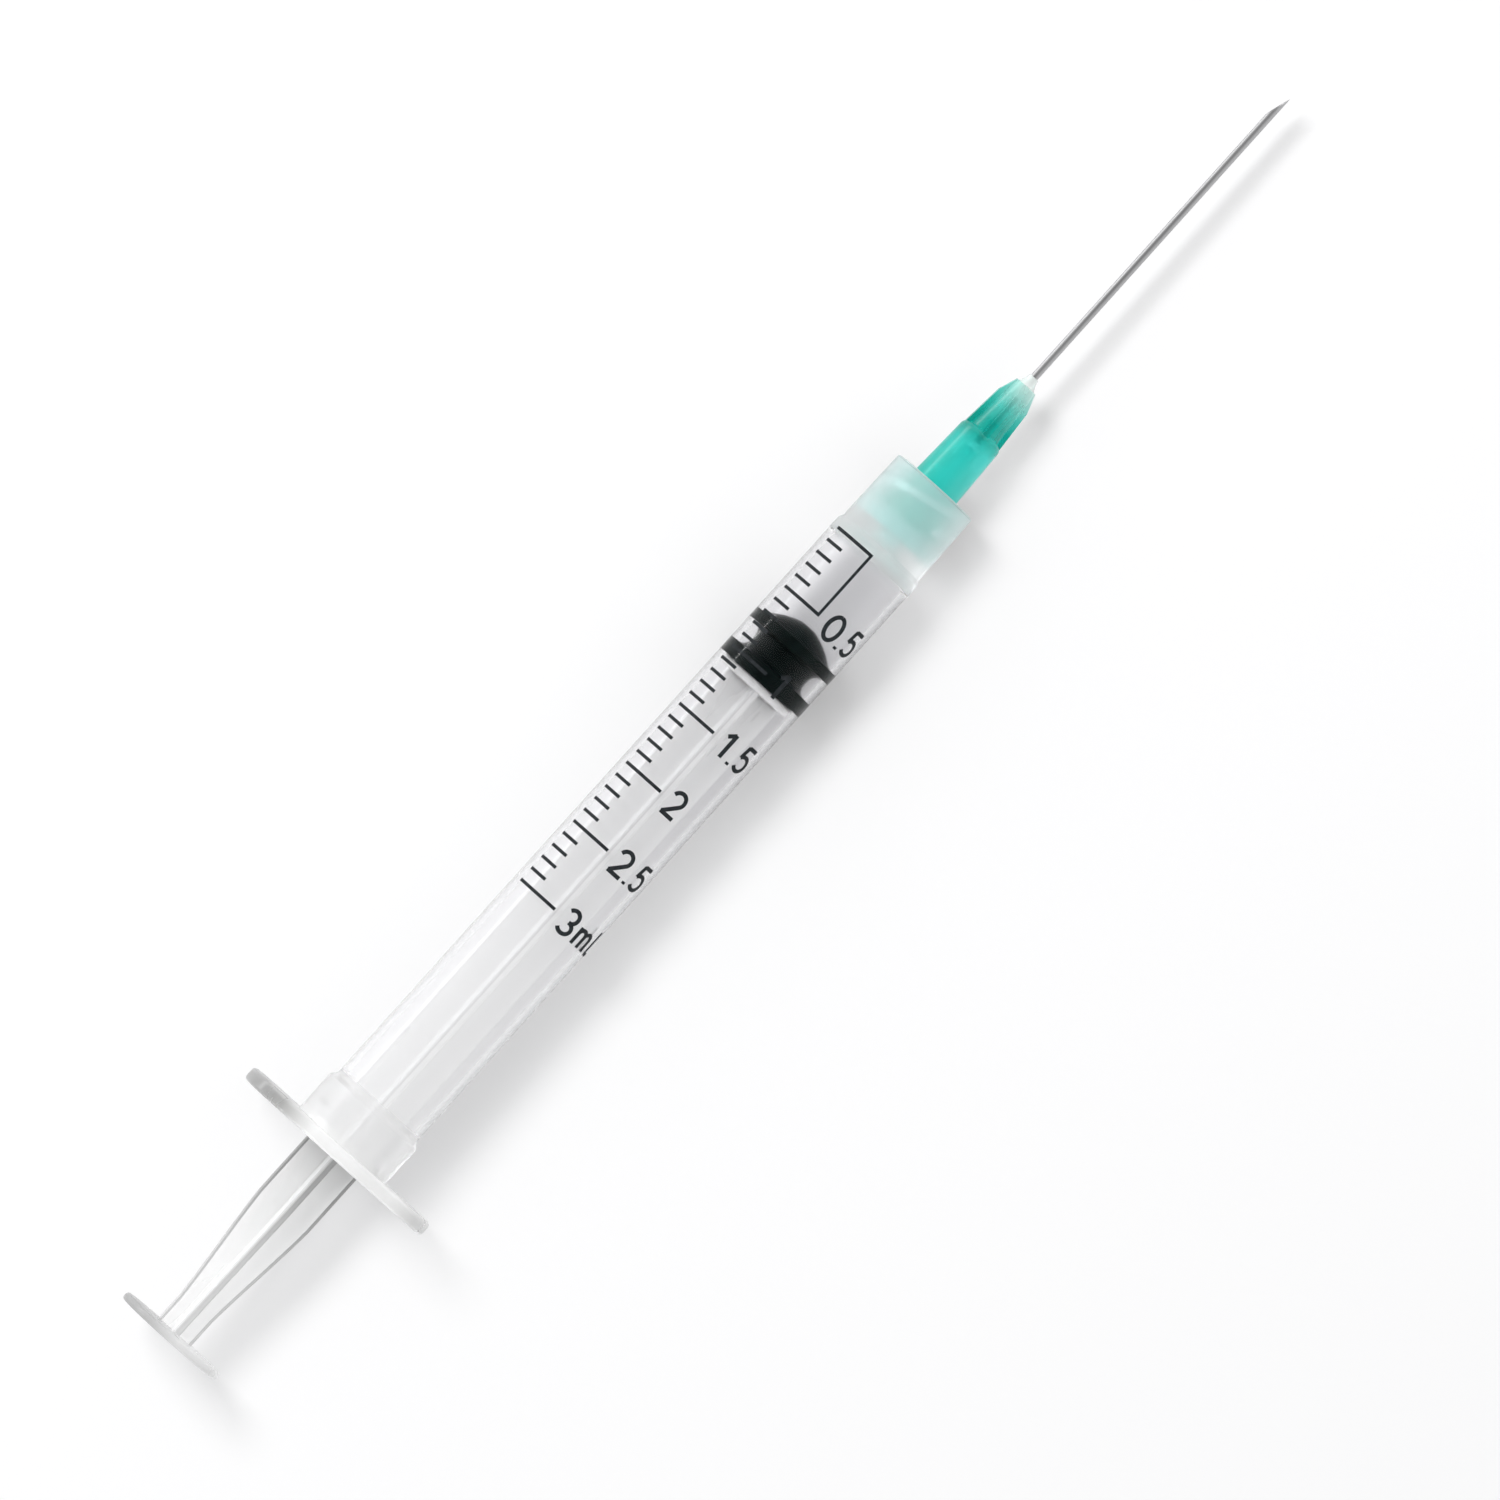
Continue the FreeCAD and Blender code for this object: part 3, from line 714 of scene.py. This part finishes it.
def scale_ink():
    return grainy("scale_ink", (2400.0, 5.0), INK_COLOURS, roughness=(0.45, 0.65),
                  relief=(0.1, 0.00004), gloss=DULL_GLOSS)


def make_materials():
    return {
        "wall": wall_plastic(),
        "bore": bore_plastic(),
        "neck": neck_plastic(),
        "flange": flange_plastic(),
        "flange_back": flange_back_plastic(),
        "collar": collar_plastic(),
        "socket": socket_plastic(),
        "rim": rim_plastic(),
        "rod": rod_plastic(),
        "thumb": thumb_plastic(),
        "rod_top": rib_top_plastic(),
        "rod_edge": rib_edge_plastic(),
        "hub": hub_plastic(),
        "glue": clear_glue(),
        "rubber": black_rubber(),
        "steel": needle_steel(),
        "ink": scale_ink(),
    }


def dress(obj, *mats):
    """Gives each face the material of its kind. A piece with one material has it all over."""
    kinds = [face.material_index for face in obj.data.polygons]
    obj.data.materials.clear()
    for mat in mats:
        obj.data.materials.append(mat)
    obj.data.polygons.foreach_set("material_index", [min(kind, len(mats) - 1) for kind in kinds])
    return obj


# Barrel
def nozzle_radius(station):
    return NOZZLE_TIP_R + (NOZZLE_TIP - station) * LUER_SLOPE


def flange_radius(inset):
    """Outline of the flange: two flats and two round ends with rounded corners, drawn in by inset."""
    def radius(angle):
        flat = (FLANGE_WIDTH / 2 - inset) / max(abs(math.cos(angle)), LEAST_COSINE)
        end = FLANGE_SPAN / 2 - inset
        power = FLANGE_CORNER_POWER
        return (flat ** -power + end ** -power) ** (-1 / power)
    return radius


def flange_rim(count=CORNER_STEPS):
    """The flange's outer edge from its rear face to its front face, with both edges rounded."""
    rows = []
    for i in range(count + 1):
        turn = math.pi / 2 * i / count
        inset = FLANGE_ROUND * (1 - math.sin(turn))
        rows.append((FLANGE_REAR + FLANGE_ROUND * (1 - math.cos(turn)), flange_radius(inset)))
    middle = FLANGE_REAR + FLANGE_FRONT
    return rows + [(middle - station, radius) for station, radius in reversed(rows)]


def barrel_kind(centre):
    """The kind of a face of the barrel, from its centre."""
    station = centre.x
    radius = math.hypot(centre.y, centre.z)
    if station < FLANGE_REAR + CLOSE:
        return FLANGE_BACK
    if station < FLANGE_FRONT + CLOSE:
        return FLANGE
    if station < CLEAR_REAR and radius > OUTSIDE_R:
        return NECK
    if station > COLLAR_MOUTH - COLLAR_MOUTH_ROUND - CLOSE and radius > THREAD_R - CLOSE:
        return RIM
    if station > COLLAR_FLOOR - CLOSE and radius < THREAD_R + THREAD_SINK:
        return SOCKET
    if station > FRONT_GAP or station > CLEAR_FRONT and radius > OUTSIDE_R:
        return COLLAR
    return BORE if radius < BORE_R + CLOSE else WALL


def barrel_piece(mats):
    """Flange, neck, tube, collar, nozzle and bore, turned as one moulding."""
    bm = bmesh.new()
    tube = rounded_profile([
        (FLANGE_FRONT, NECK_R, 0),
        (NECK_END, NECK_R, NECK_ROUND),
        (NECK_END + NECK_SLOPE, BARREL_R, NECK_BLEND),
        (CLEAR_REAR, BARREL_R, 0),
        (CLEAR_FRONT, BARREL_R, 0),
        (SHOULDER, BARREL_R, SHOULDER_ROUND),
        (SHOULDER + SHOULDER_SLOPE, COLLAR_BASE_R, COLLAR_BASE_ROUND),
        (COLLAR_MOUTH, COLLAR_MOUTH_R, COLLAR_MOUTH_ROUND),
        (COLLAR_MOUTH, THREAD_R, COLLAR_MOUTH_ROUND),
        (COLLAR_FLOOR, THREAD_R, COLLAR_FLOOR_ROUND),
        (COLLAR_FLOOR, nozzle_radius(COLLAR_FLOOR), COLLAR_FLOOR_ROUND),
        (NOZZLE_TIP, NOZZLE_TIP_R, NOZZLE_TIP_ROUND),
        (NOZZLE_TIP, WAY_R, WAY_ROUND),
        (FRONT_GAP + NOSE_LENGTH, WAY_R, WAY_ROUND),
        (FRONT_GAP, BORE_R, CONE_ROUND),
        (RING_FRONT + RING_SLOPE, BORE_R, 0),
        (RING_FRONT, RING_R, RING_ROUND),
        (RING_REAR, RING_R, RING_ROUND),
        (RING_REAR - RING_SLOPE, BORE_R, 0),
        (FLANGE_REAR + BORE_CHAMFER, BORE_R, 0),
        (FLANGE_REAR, BORE_R + BORE_CHAMFER, 0),
    ])
    lathe(bm, flange_rim() + tube)
    for face in bm.faces:
        face.material_index = barrel_kind(face.calc_center_median())
    made = new_object("barrel_moulding", bm, "barrel")
    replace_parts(made, "barrel")
    return dress(made, *(mats[kind] for kind in BARREL_KINDS))


def thread_piece(mats):
    """Double right-handed thread inside the collar. Its ridges lie in front of the hub's lugs."""
    bm = bmesh.new()
    lug_angle = math.pi / 2 - HUB_ROLL
    at_lug = HUB_MOUTH + LUG_LENGTH + THREAD_LUG_GAP
    root = THREAD_R + THREAD_SINK
    for start in (0, math.pi):
        rows = []
        for i in range(THREAD_STEPS + 1):
            angle = lug_angle + start + THREAD_BACK - (THREAD_BACK + THREAD_FORTH) * i / THREAD_STEPS
            station = at_lug - THREAD_LEAD * (angle - lug_angle - start) / WHOLE_TURN
            fade = min(1, i / THREAD_FADE_STEPS, (THREAD_STEPS - i) / THREAD_FADE_STEPS)
            crest = root - (root - THREAD_CREST_R) * fade
            section = (
                (station - THREAD_ROOT / 2, root),
                (station - THREAD_CREST / 2, crest),
                (station + THREAD_CREST / 2, crest),
                (station + THREAD_ROOT / 2, root),
            )
            rows.append([bm.verts.new(around(x, r, angle)) for x, r in section])
        skin(bm, rows)
    return dress(new_object("collar_thread", bm, "barrel"), mats["socket"])


# Plunger rod
def rib_section(half_span):
    """Outline of the cross of four ribs, as rows of y, z and the kind of the face that starts there."""
    thick = RIB_HALF_THICK
    reach = thick + RIB_FILLET
    spots = []
    for k in range(RIBS):
        turn = -ROD_ROLL + math.pi / 2 * k
        strip = ROD_EDGE if k else ROD_TOP
        local = [
            (half_span - RIB_EDGE, -thick, ROD_EDGE),
            (half_span - RIB_CHAMFER, -thick, ROD_EDGE),
            (half_span, RIB_CHAMFER - thick, ROD_EDGE),
            (half_span, LIGHT_STRIP, strip),
            (half_span, thick - RIB_CHAMFER, strip),
            (half_span - RIB_CHAMFER, thick, strip),
            (half_span - RIB_EDGE, thick, ROD),
        ]
        for i in range(RIB_FILLET_STEPS + 1):
            bend = math.pi * (1.5 - 0.5 * i / RIB_FILLET_STEPS)
            local.append((reach + RIB_FILLET * math.cos(bend), reach + RIB_FILLET * math.sin(bend), ROD))
        for out, aside, kind in local:
            y = out * math.sin(turn) + aside * math.cos(turn)
            z = out * math.cos(turn) - aside * math.sin(turn)
            spots.append((y, z, kind))
    return spots


def rib_spans():
    """Stations along the ribs with half their span: narrow at the thumb rest, then widening, then even."""
    spans = [(THUMB_FRONT - PIECE_OVERLAP, GRIP_HALF)]
    for i in range(SPAN_STEPS + 1):
        share = i / SPAN_STEPS
        eased = share * share * (3 - 2 * share)
        half_span = GRIP_HALF + (GUIDE_HALF - GRIP_HALF) * (2 * share + eased) / 3
        spans.append((GRIP_END + (GUIDE_START - GRIP_END) * share, half_span))
    even_length = DISC_REAR + PIECE_OVERLAP - GUIDE_START
    for i in range(1, SPAN_STEPS + 1):
        spans.append((GUIDE_START + even_length * i / SPAN_STEPS, GUIDE_HALF))
    return spans


def add_ribs(bm):
    rows = []
    for station, half_span in rib_spans():
        section = rib_section(half_span)
        rows.append([bm.verts.new((station, y, z)) for y, z, _ in section])
    skin(bm, rows, [kind for _, _, kind in section])


def add_thumb_rest(bm):
    profile = rounded_profile([
        (ROD_REAR, 0, 0),
        (ROD_REAR, THUMB_R, THUMB_ROUND),
        (THUMB_FRONT - THUMB_DISH, THUMB_R, THUMB_ROUND),
        (THUMB_FRONT, THUMB_R / 2, 0),
        (THUMB_FRONT, 0, 0),
    ])
    lathe(bm, profile, closed=False)
    for face in bm.faces:
        if ROD_REAR + CLOSE < face.calc_center_median().x < THUMB_FRONT + CLOSE:
            face.material_index = THUMB


def add_rod_head(bm):
    """Guide disc, stem and the head that the stopper snaps over."""
    profile = rounded_profile([
        (DISC_REAR, 0, 0),
        (DISC_REAR, DISC_R, DISC_ROUND),
        (ROD_FRONT, DISC_R, DISC_ROUND),
        (ROD_FRONT, STEM_R, STEM_ROUND),
        (STEM_END, STEM_R, STEM_ROUND),
        (STEM_END, HEAD_R, STEM_ROUND),
        (HEAD_END - HEAD_SLOPE, HEAD_R, HEAD_ROUND),
        (HEAD_END, HEAD_R - HEAD_SLOPE, HEAD_ROUND),
        (HEAD_END, 0, 0),
    ])
    lathe(bm, profile, closed=False)


def rod_piece(mats):
    bm = bmesh.new()
    add_ribs(bm)
    add_thumb_rest(bm)
    add_rod_head(bm)
    made = new_object("rod_moulding", bm, "plunger_rod")
    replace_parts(made, "plunger_rod")
    return dress(made, *(mats[kind] for kind in ROD_KINDS))


# Stopper
def groove_profile():
    """The groove between the two ribs, with steep sides and a flat floor."""
    spots = []
    for i in range(GROOVE_STEPS + 1):
        t = i / GROOVE_STEPS
        dip = (1 - abs(2 * t - 1) ** GROOVE_POWER) ** 0.5
        spots.append((GROOVE_REAR + (GROOVE_FRONT - GROOVE_REAR) * t, SEAL_R - (SEAL_R - GROOVE_R) * dip))
    return spots


def nose_profile():
    """The blunt cone in front. Its side bulges outwards by NOSE_BULGE at its middle."""
    base_r = SEAL_R - NOSE_STEP
    drop = base_r - NOSE_FLAT_R
    slant = math.hypot(NOSE_LENGTH, drop)
    spots = []
    for i in range(NOSE_STEPS + 1):
        t = i / NOSE_STEPS
        bulge = NOSE_BULGE * 4 * t * (1 - t) / slant
        station = STOPPER_FRONT + NOSE_LENGTH * t + drop * bulge
        spots.append((station, base_r - drop * t + NOSE_LENGTH * bulge))
    return spots


def stopper_piece(mats):
    """Rubber stopper. Its two ribs press on the bore, so there is no air between them and the wall."""
    bm = bmesh.new()
    rear = [
        (STOPPER_REAR, STOPPER_HOLE_R),
        (STOPPER_REAR, SEAL_R - SEAL_CHAMFER),
        (STOPPER_REAR + SEAL_CHAMFER, SEAL_R),
    ]
    front_rib = [
        (STOPPER_FRONT - SEAL_FRONT_RUN, SEAL_R),
        (STOPPER_FRONT, SEAL_R - SEAL_FRONT_DROP),
    ]
    tip = [(STOPPER_FRONT + NOSE_LENGTH, 0)]
    lathe(bm, rear + groove_profile() + front_rib + nose_profile() + tip, closed=False)
    made = new_object("stopper_rubber", bm, "stopper")
    return dress(made, mats["rubber"])


# Numerals of the scale: strokes in a cell that is 1 high, drawn with rounded turns
def arc(cx, cy, rx, ry, start, end, count=14):
    """Points of an elliptic arc between two angles in degrees."""
    spots = []
    for i in range(count + 1):
        angle = math.radians(start + (end - start) * i / count)
        spots.append((cx + rx * math.cos(angle), cy + ry * math.sin(angle)))
    return spots


def arch(x):
    """One arch of the letter m, with its right leg at x."""
    return [(x - 0.33, 0.44)] + arc(x - 0.165, 0.44, 0.165, 0.19, 180, 0, 8)[1:] + [(x, 0.02)]


GLYPHS = {
    "0": (0.62, [arc(0.31, 0.5, 0.27, 0.45, 90, 450, 28)]),
    "1": (0.5, [[(0.08, 0.74), (0.32, 0.95)], [(0.32, 0.97), (0.32, 0.03)]]),
    "2": (0.62, [arc(0.3, 0.69, 0.25, 0.26, 165, -35) + [(0.06, 0.06)], [(0.03, 0.05), (0.59, 0.05)]]),
    "3": (0.62, [arc(0.29, 0.71, 0.23, 0.24, 150, -90), arc(0.29, 0.27, 0.26, 0.22, 90, -150)]),
    "5": (0.62, [
        [(0.55, 0.95), (0.13, 0.95)],
        [(0.14, 0.97), (0.08, 0.5)],
        arc(0.29, 0.33, 0.27, 0.28, 140, -145),
    ]),
    ".": (0.16, [[(0.08, 0.0), (0.08, 0.1)]]),
    "m": (0.92, [[(0.07, 0.68), (0.07, 0.02)], arch(0.4), arch(0.73)]),
    "L": (0.5, [[(0.08, 0.97), (0.08, 0.03)], [(0.06, 0.05), (0.48, 0.05)]]),
}


def finely(points, step=0.05):
    """The same run with points close together, so that it bends round the barrel."""
    out = [Vector(points[0])]
    for a, b in zip(points, points[1:]):
        start, end = Vector(a), Vector(b)
        count = max(1, math.ceil((end - start).length / step))
        out.extend(start.lerp(end, i / count) for i in range(1, count + 1))
    return out


def ribbon(bm, spots, half_width):
    """A flat strip of ink along a run of points on the barrel, given as (station, arc)."""
    rows = []
    for i, spot in enumerate(spots):
        before = spots[max(i - 1, 0)]
        after = spots[min(i + 1, len(spots) - 1)]
        along = (after - before).normalized()
        side = Vector((-along.y, along.x)) * half_width
        section = (
            (spot - side, -INK_SINK),
            (spot + side, -INK_SINK),
            (spot + side, INK_THICK),
            (spot - side, INK_THICK),
        )
        row = []
        for place, level in section:
            row.append(bm.verts.new(around(place.x, BARREL_R + level, -place.y / BARREL_R)))
        rows.append(row)
    skin(bm, rows)


def figures_piece(mats):
    """Volumes beside the long lines, from just past the top down the -Y side, tops to the needle."""
    bm = bmesh.new()
    for text in FIGURES:
        volume = float(text.split()[0])
        base = -volume * ML - FIGURE_HEIGHT / 2
        arc_place = FIGURE_START
        for letter in text:
            if letter == " ":
                arc_place += FIGURE_SPACE
                continue
            width, strokes = GLYPHS[letter]
            corner = Vector((base, arc_place))
            for stroke in strokes:
                spots = [corner + Vector((y, x)) * FIGURE_HEIGHT for x, y in finely(stroke)]
                ribbon(bm, spots, FIGURE_STROKE / 2)
            arc_place += width * FIGURE_HEIGHT + FIGURE_GAP
    made = new_object("scale_figures", bm, "barrel", smooth_angle=80)
    return dress(made, mats["ink"])


def main():
    mats = make_materials()
    nodes = frame["nodes"]
    barrel_piece(mats)
    thread_piece(mats)
    figures_piece(mats)
    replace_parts(stopper_piece(mats), "stopper")
    dress(nodes["graduation_print"], mats["ink"])
    rod_piece(mats)
    dress(nodes["needle_hub"], mats["hub"])
    dress(nodes["cannula"], mats["steel"])
    dress(nodes["adhesive_bead"], mats["glue"])


# Camera: it looks straight down, and the picture is PHOTO_WIDTH_MM wide at the level of the axis
PHOTO_WIDTH_MM = 149.6
PHOTO_CENTRE_MM = (-22.3, -3.8)
PHOTO_TURN = math.radians(48.0)
CAMERA_HEIGHT = 1.5
SENSOR_MM = 36.0
LOOK_LEVEL = 0.006
NEAREST = 0.01
FARTHEST = 20

# Floor of matt paper, in metres
FLOOR_HALF = 3.0
FLOOR_COLOUR = (0.948, 0.948, 0.953)
FLOOR_ROUGHNESS = 0.9
FLOOR_GLOSS = 0.1

# Brightness of the room over the height of a direction, from the horizon (0) to straight up (1)
SKY = ((0.0, 1.0), (0.35, 0.95), (0.7, 0.6), (0.93, 0.2), (1.0, 0.12))
SKY_STRENGTH = 1.23

# Lamps, in metres and watts. The window is a long low strip that only shows in reflections.
LAMP_TARGET = (0, 0, 0)
KEY_PLACE = (0.1, 0.54, 0.77)
KEY_SIZE = 0.33
KEY_POWER = 4.3
WINDOW_PLACE = (0.0, 1.5, 0.28)
WINDOW_LENGTH = 2.0
WINDOW_HEIGHT = 0.12
WINDOW_POWER = 11.0


def camera():
    data = bpy.data.cameras.new("camera")
    data.sensor_width = SENSOR_MM
    data.sensor_height = SENSOR_MM
    data.sensor_fit = "AUTO"
    data.lens = SENSOR_MM * (CAMERA_HEIGHT - LOOK_LEVEL) / (PHOTO_WIDTH_MM * MM)
    data.clip_start = NEAREST
    data.clip_end = FARTHEST
    made = bpy.data.objects.new("camera", data)
    bpy.context.scene.collection.objects.link(made)
    right = Vector((math.cos(PHOTO_TURN), -math.sin(PHOTO_TURN), 0))
    up = Vector((math.sin(PHOTO_TURN), math.cos(PHOTO_TURN), 0))
    turn = Matrix((right, up, Vector((0, 0, 1)))).transposed().to_4x4()
    centre = ORIGIN + Vector((PHOTO_CENTRE_MM[0] * MM, PHOTO_CENTRE_MM[1] * MM, 0))
    made.matrix_world = Matrix.Translation((centre.x, centre.y, CAMERA_HEIGHT)) @ turn
    bpy.context.scene.camera = made


def floor():
    bm = bmesh.new()
    corners = [(-1, -1), (1, -1), (1, 1), (-1, 1)]
    bm.faces.new([bm.verts.new((x * FLOOR_HALF, y * FLOOR_HALF, 0)) for x, y in corners])
    mesh = bpy.data.meshes.new("floor")
    bm.to_mesh(mesh)
    bm.free()
    made = bpy.data.objects.new("floor", mesh)
    bpy.context.scene.collection.objects.link(made)
    mat, _, _, shader, _ = material("floor_paper")
    shader.inputs["Base Color"].default_value = (*FLOOR_COLOUR, 1)
    shader.inputs["Roughness"].default_value = FLOOR_ROUGHNESS
    set_gloss(shader, FLOOR_GLOSS)
    mesh.materials.append(mat)


def area_lamp(name, place, size, power):
    """A round lamp that looks at the middle of the syringe."""
    data = bpy.data.lights.new(name, "AREA")
    data.shape = "DISK"
    data.size = size
    data.energy = power
    made = bpy.data.objects.new(name, data)
    bpy.context.scene.collection.objects.link(made)
    aim = (Vector(LAMP_TARGET) - Vector(place)).to_track_quat("-Z", "Y")
    made.matrix_world = Matrix.Translation(place) @ aim.to_matrix().to_4x4()
    return made


def room():
    """Light from all round, brighter from low down than from above."""
    world = bpy.data.worlds.new("world")
    bpy.context.scene.world = world
    world.use_nodes = True
    nodes, links = world.node_tree.nodes, world.node_tree.links
    background = nodes["Background"]
    coords = nodes.new("ShaderNodeTexCoord")
    parts = nodes.new("ShaderNodeSeparateXYZ")
    links.new(coords.outputs["Generated"], parts.inputs["Vector"])
    sky = colour_ramp(nodes, [(level, grey(shade)) for level, shade in SKY])
    links.new(parts.outputs["Z"], sky.inputs["Fac"])
    links.new(sky.outputs["Color"], background.inputs["Color"])
    background.inputs["Strength"].default_value = SKY_STRENGTH
    world.cycles.sampling_method = "NONE"


def lamps():
    key = area_lamp("key", KEY_PLACE, KEY_SIZE, KEY_POWER)
    key.visible_glossy = False
    key.visible_transmission = False
    window = area_lamp("window", WINDOW_PLACE, WINDOW_LENGTH, WINDOW_POWER)
    window.data.shape = "RECTANGLE"
    window.data.size_y = WINDOW_HEIGHT
    window.visible_transmission = False
    window.visible_diffuse = False


main()
camera()
floor()
room()
lamps()
bpy.context.scene.view_settings.view_transform = "Standard"
